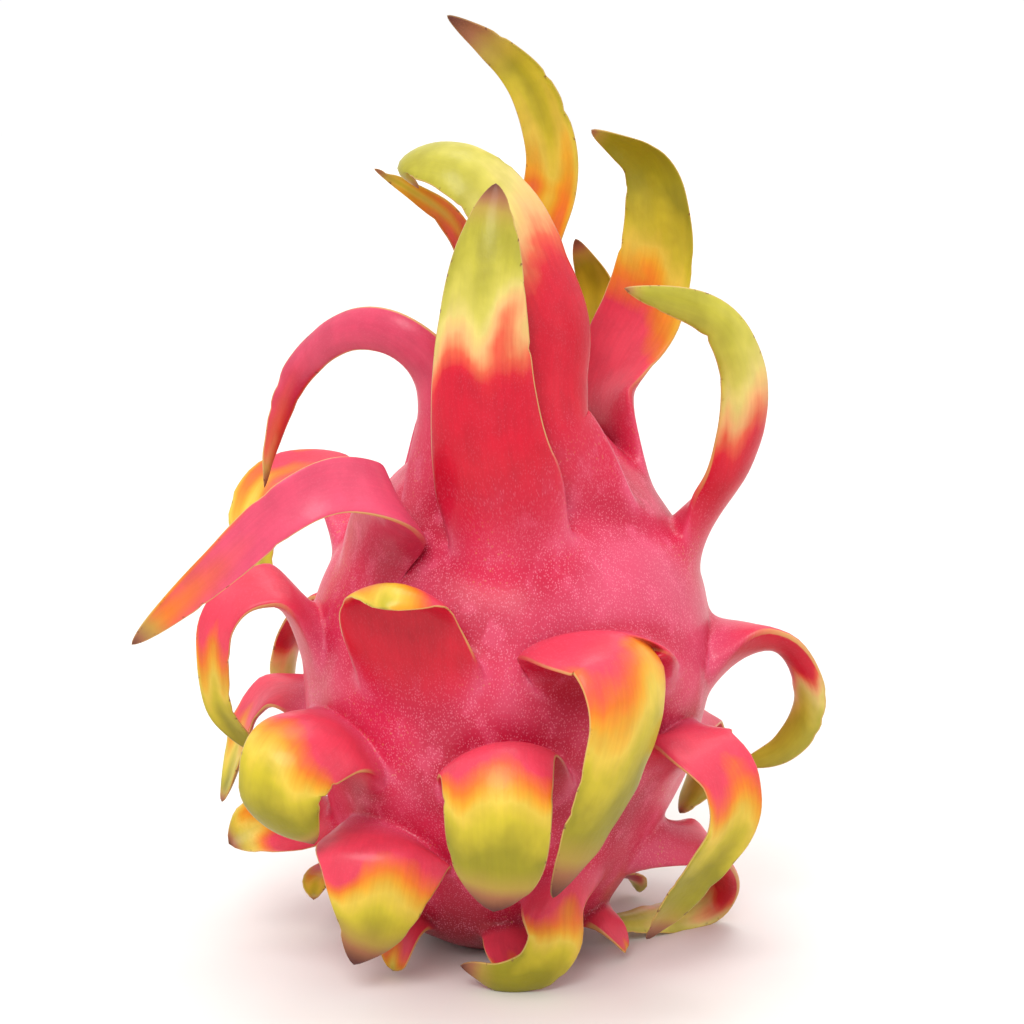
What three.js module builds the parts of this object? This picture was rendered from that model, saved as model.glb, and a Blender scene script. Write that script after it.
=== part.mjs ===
// A dragon fruit (pitaya) as picked, standing upright on its stem end.
// It grew as one piece, so it is one solid: an egg-shaped body whose skin is drawn out into long
// fleshy scales. The scales sit in staggered rings, and each one's outer face carries on from the
// skin below it, while its inner face meets the skin above it in a crease.
// Millimetres and degrees. +Z is up and -Y is the front. The origin is the middle of the flat spot.
import * as THREE from "three";

// The body
const BODY_RADIUS = 46.5;
const FLAT_SPOT_RADIUS = 13;
const LEAN = 0.055; // sideways drift of the body's middle for each millimetre of height
const BODY_OUTLINE = [
  // share of the body's radius, height, from the flat spot's edge to the flower scar
  [0.5, 6],
  [0.68, 18],
  [0.84, 33],
  [0.96, 50],
  [1, 66],
  [0.95, 80],
  [0.84, 92],
  [0.68, 103],
  [0.5, 112],
  [0.33, 119],
  [0.16, 122],
  [0, 119],
];
const HIGHEST_ROOT = 121;

// The lattice that skin and scales are woven on: rings of places, each ring turned half a place
// from the one below it
const PLACES = 6;
const COLUMNS_PER_PLACE = 6;
const SCALE_COLUMNS = 4;
const COLUMNS = PLACES * COLUMNS_PER_PLACE;
const ROWS_PER_RING = 3;
const ROWS_BELOW = 4;
const ROWS_ABOVE = 3;
const RING_HEIGHTS = [10, 25, 50, 75, 98, 111, 119];
const RELAX_ROUNDS = 400;

// The scales
const STATIONS = 12;
const STATION_CROWDING = 1.3; // how much closer the stations stand near the root
const ROOT_DROPS = [4, 12, 17, 17, 12, 8, 4]; // from a root's middle down to where its outer face leaves
const ROOT_ABOVE = 2; // and up to the crease behind its inner face
const ROOT_REACH = 16; // how far out along a scale its root still shapes it
const NECK_THICKNESS = 4; // what the flesh near the root adds to the blade
const BLADE_THICKNESS = 3;
const TIP_THICKNESS = 1.2;
const SEAM_RISE = 1.3; // the low ridge where neighbouring panels of skin meet

// Each scale, ring by ring from the base. place counts round to the right from the front. at is the
// middle of its root, degrees round the body and height, and ends is how much lower the left and
// right ends of the root are. half is half its width at the root and along the blade. flare is how
// quickly it narrows, and taper how short its point is. twist is how far the blade has turned
// halfway and at the tip, and cup how far its margins bend inwards. path is where its middle runs.
const SCALES = [
  // ring 0: short scales round the base
  { ring: 0, place: 0, at: [8, 10], ends: [2, 2], half: [8, 6],
    path: [[3, -32, 9], [5, -37, 5], [6, -38, 1]] },
  { ring: 0, place: 1, at: [60, 10], ends: [2, 2], half: [7, 4],
    path: [[25, -18, 9], [29, -20, 5], [30, -19, 2]] },
  { ring: 0, place: 2, at: [120, 10], ends: [2, 2], half: [8, 5],
    path: [[27, 17, 9], [33, 22, 6], [35, 25, 1]] },
  { ring: 0, place: 3, at: [178, 11], ends: [2, 2], half: [8, 6],
    path: [[3, 33, 10], [4, 40, 6], [5, 42, 0]] },
  { ring: 0, place: 4, at: [-108, 12], ends: [2, 2], half: [8, 5],
    path: [[-34, 6, 13], [-40, -2, 13], [-41, -7, 10]] },
  { ring: 0, place: 5, at: [-42, 11], ends: [2, 2], half: [8, 5],
    path: [[-19, -26, 10], [-21, -30, 6], [-22, -29, 1]] },
  // ring 1: these curl down to the table
  { ring: 1, place: 0, at: [26, 27], ends: [8, 6], half: [14, 6.5], cup: -0.1,
    path: [[13, -38, 22], [14, -42, 13], [10, -42, 6], [2, -41, 3.5], [-7, -38, 5.5]] },
  { ring: 1, place: 1, at: [76, 28], ends: [6, 6], half: [15, 6],
    path: [[46, -6, 24], [52, 3, 15], [51, 9, 6], [45, 6, 3], [35, -2, 4], [23, -12, 6]] },
  { ring: 1, place: 2, at: [145, 25], ends: [7, 7], half: [15, 8],
    path: [[26, 37, 24], [32, 44, 16], [33, 44, 6]] },
  { ring: 1, place: 3, at: [-155, 25], ends: [7, 7], half: [16, 8],
    path: [[-17, 40, 24], [-24, 50, 19], [-28, 54, 11], [-28, 52, 4]] },
  { ring: 1, place: 4, at: [-97, 29], ends: [6, 2], half: [14, 9], flare: 4, twist: [50, 60],
    path: [[-44, -2, 28], [-53, -6, 27], [-60, -9, 24]] },
  { ring: 1, place: 5, at: [-39, 35], ends: [2, 13], half: [19.5, 12.5], flare: 2, taper: 2.2,
    cup: -0.2,
    path: [[-23, -39, 36], [-24, -45, 28], [-26, -46, 17], [-30, -42, 7]] },
  // ring 2
  { ring: 2, place: 0, at: [1, 56], ends: [10, 10], half: [19.5, 11.5], taper: 7, cup: -0.25,
    path: [[1, -53, 60], [1, -61, 57], [1, -66, 48], [1, -65, 36], [0.5, -62, 26]] },
  { ring: 2, place: 1, at: [57, 56], ends: [8, 8], half: [17, 6.5], twist: [-28, -28],
    path: [[44, -40, 55], [50, -45, 50], [51, -43, 39], [45, -40, 28], [39, -36, 18], [34, -31, 9]] },
  { ring: 2, place: 2, at: [116, 50], ends: [8, 8], half: [18, 7],
    path: [[48, 32, 43], [52, 38, 34], [50, 39, 25], [45, 34, 18]] },
  { ring: 2, place: 3, at: [178, 52], ends: [8, 8], half: [18, 9],
    path: [[4, 54, 54], [5, 63, 50], [6, 67, 40], [6, 62, 29]] },
  { ring: 2, place: 4, at: [-112, 56], ends: [8, 8], half: [18, 6], twist: [20, 20],
    path: [[-49, 14, 55], [-56, 14, 49], [-59, 12, 41], [-61, 9, 34], [-63, 7, 29]] },
  { ring: 2, place: 5, at: [-54, 58], ends: [2, 12], half: [20, 11], flare: 6, twist: [25, 15],
    cup: -0.25,
    path: [[-36, -38, 59], [-42, -47, 56], [-45, -50, 48], [-43, -48, 41], [-38, -44, 35]] },
  // ring 3, the widest part of the body
  { ring: 3, place: 0, at: [29, 79], ends: [8, 13], half: [23, 11.5], taper: 2.5, twist: [16, 8],
    cup: -0.15,
    path: [[22, -53, 81], [27, -61, 79], [29, -65, 70], [26, -64, 56], [19, -60, 39], [13, -56, 27]] },
  { ring: 3, place: 1, at: [88, 74], ends: [8, 10], half: [18, 5], twist: [30, 40],
    path: [[57, -7, 72], [65, -8, 70], [70, -6, 62], [71, -2, 52], [66, 2, 43], [57, 6, 38]] },
  { ring: 3, place: 2, at: [148, 76], ends: [9, 9], half: [20, 8],
    path: [[33, 50, 80], [40, 60, 78], [43, 64, 68], [41, 62, 56], [36, 56, 48]] },
  { ring: 3, place: 3, at: [-140, 74], ends: [9, 9], half: [18, 7],
    path: [[-38, 34, 72], [-47, 39, 63], [-50, 41, 50], [-47, 39, 39]] },
  { ring: 3, place: 4, at: [-78, 78], ends: [8, 8], half: [17, 4.5], twist: [30, 45],
    path: [[-43, -14, 84], [-54, -18, 84], [-60, -20, 78], [-61, -19, 68], [-60, -16, 57],
      [-52, -11, 45]] },
  { ring: 3, place: 5, at: [-25, 77], ends: [9, 5], half: [19, 10.5], flare: 2.2, taper: 8,
    twist: [-6, -4], cup: -0.3,
    path: [[-18, -41, 83], [-19, -46, 90], [-20, -51, 93], [-21, -54.5, 92], [-22, -57, 89.5]] },
  // ring 4, the shoulder
  { ring: 4, place: 0, at: [-1.5, 102], ends: [4, 3], half: [15.5, 9.5], flare: 2.2, taper: 5,
    path: [[0, -39.5, 116], [-2, -39, 132], [-2, -36, 148], [-1, -33, 161], [1, -28, 175]] },
  { ring: 4, place: 1, at: [86, 97], ends: [4, 6], half: [12, 5.5], twist: [50, 40],
    path: [[47, -5, 101], [53, -13, 111], [55, -20, 126], [53, -23, 138], [46, -25, 147],
      [28, -30, 153]] },
  { ring: 4, place: 2, at: [138, 98], ends: [6, 6], half: [13, 7],
    path: [[25, 36, 104], [26, 45, 109], [26, 54, 107], [24, 60, 98]] },
  { ring: 4, place: 3, at: [184, 98], ends: [6, 6], half: [14, 8],
    path: [[5, 42, 108], [6, 50, 117], [7, 59, 120], [8, 66, 113]] },
  { ring: 4, place: 4, at: [-112, 97], ends: [7, 7], half: [16, 6.5], twist: [40, 60],
    path: [[-35, 18, 103], [-44, 23, 104], [-52, 24, 102], [-56, 19, 95], [-54, 13, 88],
      [-52, 9, 80]] },
  { ring: 4, place: 5, at: [-57, 98], ends: [6, 9], half: [15.5, 5.4], flare: 5, twist: [50, 63],
    path: [[-22, -39, 109], [-32, -48, 113.5], [-43, -51, 109], [-57, -50, 96.5], [-76, -44, 79]] },
  // ring 5, the upright scales of the crown
  { ring: 5, place: 0, at: [35, 110], ends: [1, 9], half: [11.5, 9.5], flare: 2, taper: 6,
    path: [[13, -29, 121], [12, -27, 133], [13, -24, 145], [9, -20, 157], [3, -13, 170],
      [-7, -10, 178], [-16, -6, 179], [-20, -5, 176], [-16, -5, 172]] },
  { ring: 5, place: 1, at: [110, 111], ends: [5, 5], half: [12, 10], flare: 4, taper: 3,
    twist: [-62, -60],
    path: [[27, 15, 121], [30, 18, 132], [35, 18, 143], [38, 17, 160], [35, 14, 176], [22, 8, 184]] },
  { ring: 5, place: 2, at: [165, 109], ends: [3, 3], half: [8, 6],
    path: [[17, 28, 121], [22, 30, 133], [24, 31, 146], [19, 27, 158]] },
  { ring: 5, place: 3, at: [-130, 111], ends: [4, 4], half: [10, 3.6],
    path: [[-12, 19, 120], [-10, 23, 132], [-7, 23, 144], [-6, 18, 155], [-10, 12, 164], [-17, 6, 170],
      [-26, 0, 176]] },
  { ring: 5, place: 5, at: [-42, 110], ends: [4, 3], half: [11, 5], flare: 6, taper: 2.5,
    twist: [-35, 40],
    path: [[-12, -17, 131], [-21, -17, 141], [-33, -10, 141], [-44, 1, 130], [-50, 7, 113],
      [-52, 8, 103]] },
  // ring 6, round the flower scar
  { ring: 6, place: 1, at: [60, 119.5], ends: [1, 1], half: [6, 4.5],
    path: [[16, -4, 128], [14, -2, 138], [12, 1, 148]] },
  { ring: 6, place: 3, at: [180, 118], ends: [2, 2], half: [8, 6.5],
    path: [[6, 17, 130], [7, 20, 145], [9, 22, 158], [13, 22, 170], [13, 21, 181], [8, 18, 194],
      [-1, 14, 203], [-10, 10, 209]] },
  { ring: 6, place: 5, at: [-60, 119.5], ends: [1, 1], half: [6, 4.5],
    path: [[-7, -6, 129], [-8, -4, 140], [-6, 0, 150]] },
];
const PLAIN = { flare: 7, taper: 4, twist: [0, 0], cup: 0.25 };

const radians = THREE.MathUtils.degToRad;
const smooth = (share) => THREE.MathUtils.smoothstep(share, 0, 1);

const flatEdge = new THREE.Vector2(FLAT_SPOT_RADIUS, 0);
const side = BODY_OUTLINE.map(([share, height]) => new THREE.Vector2(share * BODY_RADIUS, height));
const outline = new THREE.CurvePath();
outline.add(new THREE.LineCurve(new THREE.Vector2(0, 0), flatEdge));
outline.add(new THREE.SplineCurve([flatEdge, ...side]));

// The share of the way along the body's outline at which it reaches a height
function shareAtHeight(height) {
  const sought = Math.min(height, HIGHEST_ROOT);
  let low = 0;
  let high = 0.9;
  for (let round = 0; round < 24; round += 1) {
    const middle = (low + high) / 2;
    if (outline.getPoint(middle).y < sought) low = middle;
    else high = middle;
  }
  return (low + high) / 2;
}

// A point of the plain body, by degrees round it and share of its outline
function bodyPoint(around, share) {
  const { x: radius, y: height } = outline.getPoint(THREE.MathUtils.clamp(share, 0, 1));
  const angle = radians(around);
  return new THREE.Vector3(LEAN * height + radius * Math.sin(angle), -radius * Math.cos(angle), height);
}

function bodyNormal(around, share) {
  const step = 0.004;
  const up = bodyPoint(around, share + step).sub(bodyPoint(around, share - step));
  return new THREE.Vector3(Math.cos(radians(around)), Math.sin(radians(around)), 0).cross(up).normalize();
}

// The lattice row on which a ring's roots lie
const ringRow = (ring) => ROWS_BELOW + ring * ROWS_PER_RING;
const TOP_ROW = ringRow(RING_HEIGHTS.length - 1) + ROWS_ABOVE;
const wrap = (column) => (column + COLUMNS) % COLUMNS;

// Where an even lattice would put a row, as a share of the body's outline
const FLAT_ROW = 1;
const rows = [0, FLAT_ROW, ...RING_HEIGHTS.map((_, ring) => ringRow(ring)), TOP_ROW];
const rowMarks = [0, FLAT_SPOT_RADIUS / outline.getLength(), ...RING_HEIGHTS.map(shareAtHeight), 1];
function evenShare(row) {
  const band = rows.findIndex((end, index) => index > 0 && row <= end);
  const part = (row - rows[band - 1]) / (rows[band] - rows[band - 1]);
  return THREE.MathUtils.lerp(rowMarks[band - 1], rowMarks[band], part);
}

// A scale's root on the lattice: its row, its columns, and where each of them lies on the body
function rootOf(scale) {
  const row = ringRow(scale.ring);
  const middle = COLUMNS_PER_PLACE * (scale.place + (scale.ring % 2) / 2);
  const radius = outline.getPoint(shareAtHeight(scale.at[1])).x;
  const halfAngle = THREE.MathUtils.radToDeg(scale.half[0] / radius);
  return Array.from({ length: SCALE_COLUMNS + 1 }, (_, index) => {
    const across = (2 * index) / SCALE_COLUMNS - 1;
    const drop = scale.ends[across < 0 ? 0 : 1] * across * across;
    return {
      row,
      column: wrap(middle - SCALE_COLUMNS / 2 + index),
      across,
      around: scale.at[0] + halfAngle * across,
      height: scale.at[1] - drop,
    };
  });
}

// The lattice relaxed round its fixed roots. A root has two sides, and both are kept: below holds
// what the rows under a root see of it, and above what the rows over it see.
function relaxedLattice() {
  const gridRow = () => Array.from({ length: COLUMNS }, () => [0, 0]);
  const grid = () => Array.from({ length: TOP_ROW + 1 }, gridRow);
  let below = grid();
  let above = grid();
  const total = (points, axis) => points.reduce((sum, point) => sum + point[axis], 0);
  const mean = (points) => [0, 1].map((axis) => total(points, axis) / points.length);
  const fixed = new Map();
  for (let column = 0; column < COLUMNS; column += 1) fixed.set(`${FLAT_ROW},${column}`, [[0, 0], [0, 0]]);
  for (const scale of SCALES) {
    for (const { row, column, across, around, height } of rootOf(scale)) {
      const open = 1 - across * across;
      const even = (360 * column) / COLUMNS;
      const shift = ((((around - even) % 360) + 540) % 360) - 180;
      fixed.set(`${row},${column}`, [
        [shift, shareAtHeight(height - ROOT_DROPS[scale.ring] * open) - evenShare(row)],
        [shift, shareAtHeight(height + ROOT_ABOVE * open) - evenShare(row)],
      ]);
    }
  }
  for (const { ring, place } of SCALES) {
    const gap = wrap(COLUMNS_PER_PLACE * (place + 0.5 + (ring % 2) / 2));
    const ends = [gap - 1, gap + 1].map((column) => fixed.get(`${ringRow(ring)},${wrap(column)}`));
    if (ends.every(Boolean)) {
      const between = mean(ends.map(([low]) => low));
      fixed.set(`${ringRow(ring)},${gap}`, [between, between]);
    }
  }
  for (let round = 0; round < RELAX_ROUNDS; round += 1) {
    const nextBelow = grid();
    const nextAbove = grid();
    for (let row = 1; row < TOP_ROW; row += 1) {
      for (let column = 0; column < COLUMNS; column += 1) {
        const held = fixed.get(`${row},${column}`);
        const left = wrap(column - 1);
        const right = wrap(column + 1);
        const free = held
          ? null
          : mean([below[row][left], below[row][right], below[row + 1][column], above[row - 1][column]]);
        nextBelow[row][column] = held ? held[0] : free;
        nextAbove[row][column] = held ? held[1] : free;
      }
    }
    below = nextBelow;
    above = nextAbove;
  }
  return { below, above };
}

const lattice = relaxedLattice();
const points = [];
const faces = [];
const addPoint = (point) => points.push(point) - 1;

// How far the skin stands out at a lattice point: the seam ridges that run up between the scales
// of each ring to the middle of the scales above, and the swelling below each root
function skinRise(row, column) {
  const band = (row - ROWS_BELOW) / ROWS_PER_RING;
  if (band <= -1 || band >= RING_HEIGHTS.length - 1) return 0;
  const ring = Math.ceil(band);
  const middle = (ring % 2) * (COLUMNS_PER_PLACE / 2);
  const across = (((column - middle) % COLUMNS_PER_PLACE) + COLUMNS_PER_PLACE) % COLUMNS_PER_PLACE;
  const fromSeam = Math.abs(across - COLUMNS_PER_PLACE / 2);
  return SEAM_RISE * (band - ring + 1) ** 2 * Math.exp(-fromSeam * fromSeam);
}

function skinPoint(row, column, [shift, rise]) {
  const around = (360 * column) / COLUMNS + shift;
  const share = evenShare(row) + rise;
  return bodyPoint(around, share).addScaledVector(bodyNormal(around, share), skinRise(row, column));
}

// The body's own points: one at each lattice point, and two where a root opens the skin
const skinBelow = [];
const skinAbove = [];
const openColumns = new Set(
  SCALES.flatMap((scale) => rootOf(scale).slice(1, -1).map(({ row, column }) => `${row},${column}`)),
);
for (let row = 0; row <= TOP_ROW; row += 1) {
  const pole = row === 0 || row === TOP_ROW;
  const shared = pole ? addPoint(bodyPoint(0, row === 0 ? 0 : 1)) : null;
  skinBelow.push([]);
  skinAbove.push([]);
  for (let column = 0; column < COLUMNS; column += 1) {
    const under = shared ?? addPoint(skinPoint(row, column, lattice.below[row][column]));
    const open = openColumns.has(`${row},${column}`);
    skinBelow[row].push(under);
    skinAbove[row].push(open ? addPoint(skinPoint(row, column, lattice.above[row][column])) : under);
  }
}
for (let row = 0; row < TOP_ROW; row += 1) {
  for (let column = 0; column < COLUMNS; column += 1) {
    const next = wrap(column + 1);
    const low = [skinAbove[row][column], skinAbove[row][next]];
    const high = [skinBelow[row + 1][next], skinBelow[row + 1][column]];
    faces.push([...new Set([...low, ...high])]);
  }
}

// The middle line of a scale with the frame it carries, a millimetre or so at a time: where it
// runs, across the blade, and out of its outer face
function scaleFrames(scale, start) {
  const path = [start, ...scale.path.map((point) => new THREE.Vector3(...point))];
  const curve = new THREE.CatmullRomCurve3(path, false, "catmullrom", 0.5);
  const steps = Math.round(curve.getLength());
  const across = new THREE.Vector3(Math.cos(radians(scale.at[0])), Math.sin(radians(scale.at[0])), 0);
  const frames = [];
  for (let step = 0; step <= steps; step += 1) {
    const share = step / steps;
    const along = curve.getTangentAt(share);
    across.addScaledVector(along, -across.dot(along)).normalize();
    const [halfway, atTip] = scale.twist;
    const turn = radians(halfway * smooth(2 * share) + (atTip - halfway) * smooth(2 * share - 1));
    const turned = across.clone().applyAxisAngle(along, -turn);
    frames.push({ centre: curve.getPointAt(share), across: turned, out: turned.clone().cross(along) });
  }
  return frames;
}

// A cubic that leaves one point along a direction and reaches another along its own
function eased(share, from, fromSlope, to, toSlope) {
  const square = share * share;
  const cube = square * share;
  return new THREE.Vector3()
    .addScaledVector(from, 2 * cube - 3 * square + 1)
    .addScaledVector(fromSlope, cube - 2 * square + share)
    .addScaledVector(to, 3 * square - 2 * cube)
    .addScaledVector(toSlope, cube - square);
}

// The outer and inner face of a scale's own section, somewhere along it and across it
function sectionPoint(scale, frames, share, across) {
  const place = share * (frames.length - 1);
  const index = Math.min(Math.floor(place), frames.length - 2);
  const mix = (key) => frames[index][key].clone().lerp(frames[index + 1][key], place - index);
  const [rootHalf, bladeHalf] = scale.half;
  const width = bladeHalf + (rootHalf - bladeHalf) * (1 - share) ** scale.flare;
  const half = width * (1 - share ** scale.taper) ** 0.7;
  const neck = NECK_THICKNESS * (1 - smooth(2 * share));
  const thick = neck + THREE.MathUtils.lerp(BLADE_THICKNESS, TIP_THICKNESS, share);
  const out = mix("out").normalize();
  const middle = mix("centre").addScaledVector(mix("across").normalize(), half * across);
  middle.addScaledVector(out, -scale.cup * half * across * across);
  const lift = out.multiplyScalar((thick / 2) * Math.sqrt(1 - across * across));
  return [middle.clone().add(lift), middle.clone().sub(lift)];
}

function growScale(scale) {
  const root = rootOf(scale);
  const last = SCALE_COLUMNS;
  const under = root.map(({ row, column }) => skinBelow[row][column]);
  const over = root.map(({ row, column }) => skinAbove[row][column]);
  const frames = scaleFrames(scale, bodyPoint(scale.at[0], shareAtHeight(scale.at[1])));
  const reach = Math.min(0.45, ROOT_REACH / frames.length);
  const nudge = 0.02;
  const leaving = root.map(({ around, height, across }, index) => {
    const share = shareAtHeight(height - ROOT_DROPS[scale.ring] * (1 - across * across));
    const up = bodyPoint(around, share + 0.01).sub(bodyPoint(around, share)).normalize();
    const here = sectionPoint(scale, frames, reach, across);
    const next = sectionPoint(scale, frames, reach + nudge, across);
    const slopes = next.map((point, side) => point.clone().sub(here[side]).multiplyScalar(reach / nudge));
    const from = [under, over].map((side) => points[side[index]].clone());
    const upwards = up.multiplyScalar(0.7 * here[0].distanceTo(from[0]));
    const [outwards, inwards] = here.map((point, side) => point.clone().sub(from[side]));
    const clear = bodyNormal(around, share).multiplyScalar(0.4 * outwards.length() * across * across);
    for (const slope of [outwards, inwards]) slope.add(clear);
    return { from, here, slopes, starts: [upwards.lerp(outwards, across * across), inwards] };
  });

  let lower = under;
  let upper = over;
  for (let station = 1; station < STATIONS; station += 1) {
    const share = (station / STATIONS) ** STATION_CROWDING;
    const row = root.map(({ across }, index) => {
      const { from, here, slopes, starts } = leaving[index];
      if (share >= reach) return sectionPoint(scale, frames, share, across);
      const part = share / reach;
      return here.map((point, side) => eased(part, from[side], starts[side], point, slopes[side]));
    });
    const nextLower = row.map(([outer]) => addPoint(outer));
    const nextUpper = row.map(([, inner], index) =>
      index % last === 0 ? nextLower[index] : addPoint(inner),
    );
    for (let index = 0; index < last; index += 1) {
      faces.push([lower[index], lower[index + 1], nextLower[index + 1], nextLower[index]]);
      faces.push([upper[index + 1], upper[index], nextUpper[index], nextUpper[index + 1]]);
    }
    lower = nextLower;
    upper = nextUpper;
  }
  const tip = addPoint(frames.at(-1).centre.clone());
  for (let index = 0; index < last; index += 1) {
    faces.push([lower[index], lower[index + 1], tip]);
    faces.push([upper[index + 1], upper[index], tip]);
  }
}

SCALES.forEach((scale) => growScale({ ...PLAIN, ...scale }));

// Nothing reaches below the table
for (const point of points) point.z = Math.max(point.z, 0);

const geometry = new THREE.BufferGeometry();
const coordinates = points.flatMap((point) => point.toArray());
geometry.setAttribute("position", new THREE.Float32BufferAttribute(coordinates, 3));
geometry.setIndex(
  faces.flatMap((face) => face.slice(2).flatMap((corner, index) => [face[0], face[index + 1], corner])),
);
geometry.computeVertexNormals();

const skin = new THREE.MeshStandardMaterial({ color: 0xd8406e, roughness: 0.5, metalness: 0 });
const fruit = new THREE.Mesh(geometry, skin);
fruit.name = "dragon_fruit";

const group = new THREE.Group();
group.add(fruit);
export default group;
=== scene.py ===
import functools
import math

import bpy
import numpy as np
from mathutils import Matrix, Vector


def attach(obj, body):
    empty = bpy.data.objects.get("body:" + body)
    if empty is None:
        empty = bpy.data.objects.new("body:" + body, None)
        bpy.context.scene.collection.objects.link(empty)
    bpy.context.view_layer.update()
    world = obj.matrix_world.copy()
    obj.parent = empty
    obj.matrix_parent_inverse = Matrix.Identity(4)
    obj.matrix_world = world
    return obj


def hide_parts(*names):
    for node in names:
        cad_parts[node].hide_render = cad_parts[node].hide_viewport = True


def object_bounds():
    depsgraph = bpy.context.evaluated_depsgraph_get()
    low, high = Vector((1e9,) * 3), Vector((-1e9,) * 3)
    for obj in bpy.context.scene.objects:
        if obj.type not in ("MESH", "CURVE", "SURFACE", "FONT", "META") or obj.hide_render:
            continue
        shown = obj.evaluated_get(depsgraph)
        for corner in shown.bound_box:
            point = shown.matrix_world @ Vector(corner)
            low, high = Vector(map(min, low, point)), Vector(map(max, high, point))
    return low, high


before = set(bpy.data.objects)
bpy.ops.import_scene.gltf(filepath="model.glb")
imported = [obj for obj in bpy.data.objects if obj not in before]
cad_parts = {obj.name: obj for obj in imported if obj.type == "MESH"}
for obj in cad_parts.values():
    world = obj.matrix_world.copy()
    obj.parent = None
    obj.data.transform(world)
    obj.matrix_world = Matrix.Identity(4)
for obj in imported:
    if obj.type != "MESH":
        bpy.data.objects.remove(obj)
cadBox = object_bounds()
draw = np.random.default_rng(31)
metre = 0.001  # everything about the fruit below is in millimetres and degrees
print("frame loaded:", [tuple(round(v, 4) for v in corner) for corner in cadBox])


# The whole fruit: the same forms as its solid, woven finer, with the wear of a picked fruit
fruit = {
    "bodyRadius": 46.5,
    "flatSpotRadius": 13,
    "lean": 0.055,  # sideways drift of the body's middle for each millimetre of height
    "bodyOutline": [  # share of the radius, height, from the flat spot's edge to the flower scar
        (0.5, 6), (0.68, 18), (0.84, 33), (0.96, 50), (1, 66), (0.95, 80),
        (0.84, 92), (0.68, 103), (0.5, 112), (0.33, 119), (0.16, 122), (0, 119),
    ],
    "highestRoot": 121,
    "places": 6,  # scales in a ring
    "fineness": 4,  # lattice lines here for each one in the solid
    "ringHeights": [10, 25, 50, 75, 98, 111, 119],
    "rootDrops": [4, 12, 17, 17, 12, 8, 4],  # how far below a root's middle its outer face leaves
    "rootAbove": 2,
    "rootReach": 16,  # how far along a scale its root's shape lasts, and the most of its length
    "rootShare": 0.45,
    "rootRise": 0.7,  # how strongly a root sets out along the skin, and how its margins stand off it
    "marginStandOff": 0.4,
    "neckThickness": 4,  # what the flesh near the root adds to the blade
    "bladeThickness": 3,
    "tipThickness": 1.2,
    "tipRoundness": 0.7,  # how round a tip's outline is, and how late the blade thins out to its edge
    "tipThinning": 14,
    "seamRise": 1.3,
    "relaxRounds": 3000,
    "stationStep": 1.3,  # distance between the sections of a scale, which crowd towards both its ends
    "crowdingAtRoot": 1.15,
    "crowdingAtTip": 1.25,
    "marginWave": 0.25,  # how far the margins wander out of the blade, and their wavelength
    "marginWavelength": 17,
    "marginWaveFrom": 0.25,  # the waves grow over this span of a scale's length
    "marginWaveFull": 0.55,
    "nicks": 4,  # small tears in each scale's margins: where along it, which side, depth, length
    "nickFrom": (0.45, -1, 0.3, 0.7),
    "nickTo": (0.97, 1, 1, 1.5),
    "nickDepth": 0.45,
    "skinWave": 0.22,  # the soft unevenness of the whole skin, and its wavelength
    "skinWavelength": 19,
    "skinWavelengths": (0.6, 1.6),  # shortest and longest of them, as shares of that
    "skinWaves": 14,
    "bladeCalm": 0.7,  # how much weaker they are on the scales
    "easeRounds": 18,  # how far the joints between skin and scales are softened, and how far up them
    "easeReach": 15,
    "easeStep": 0.5,  # how far a point moves towards its neighbours in each round
    "reliefRounds": 40,  # how smooth the skin is that ridges and hollows are measured from
}

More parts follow.
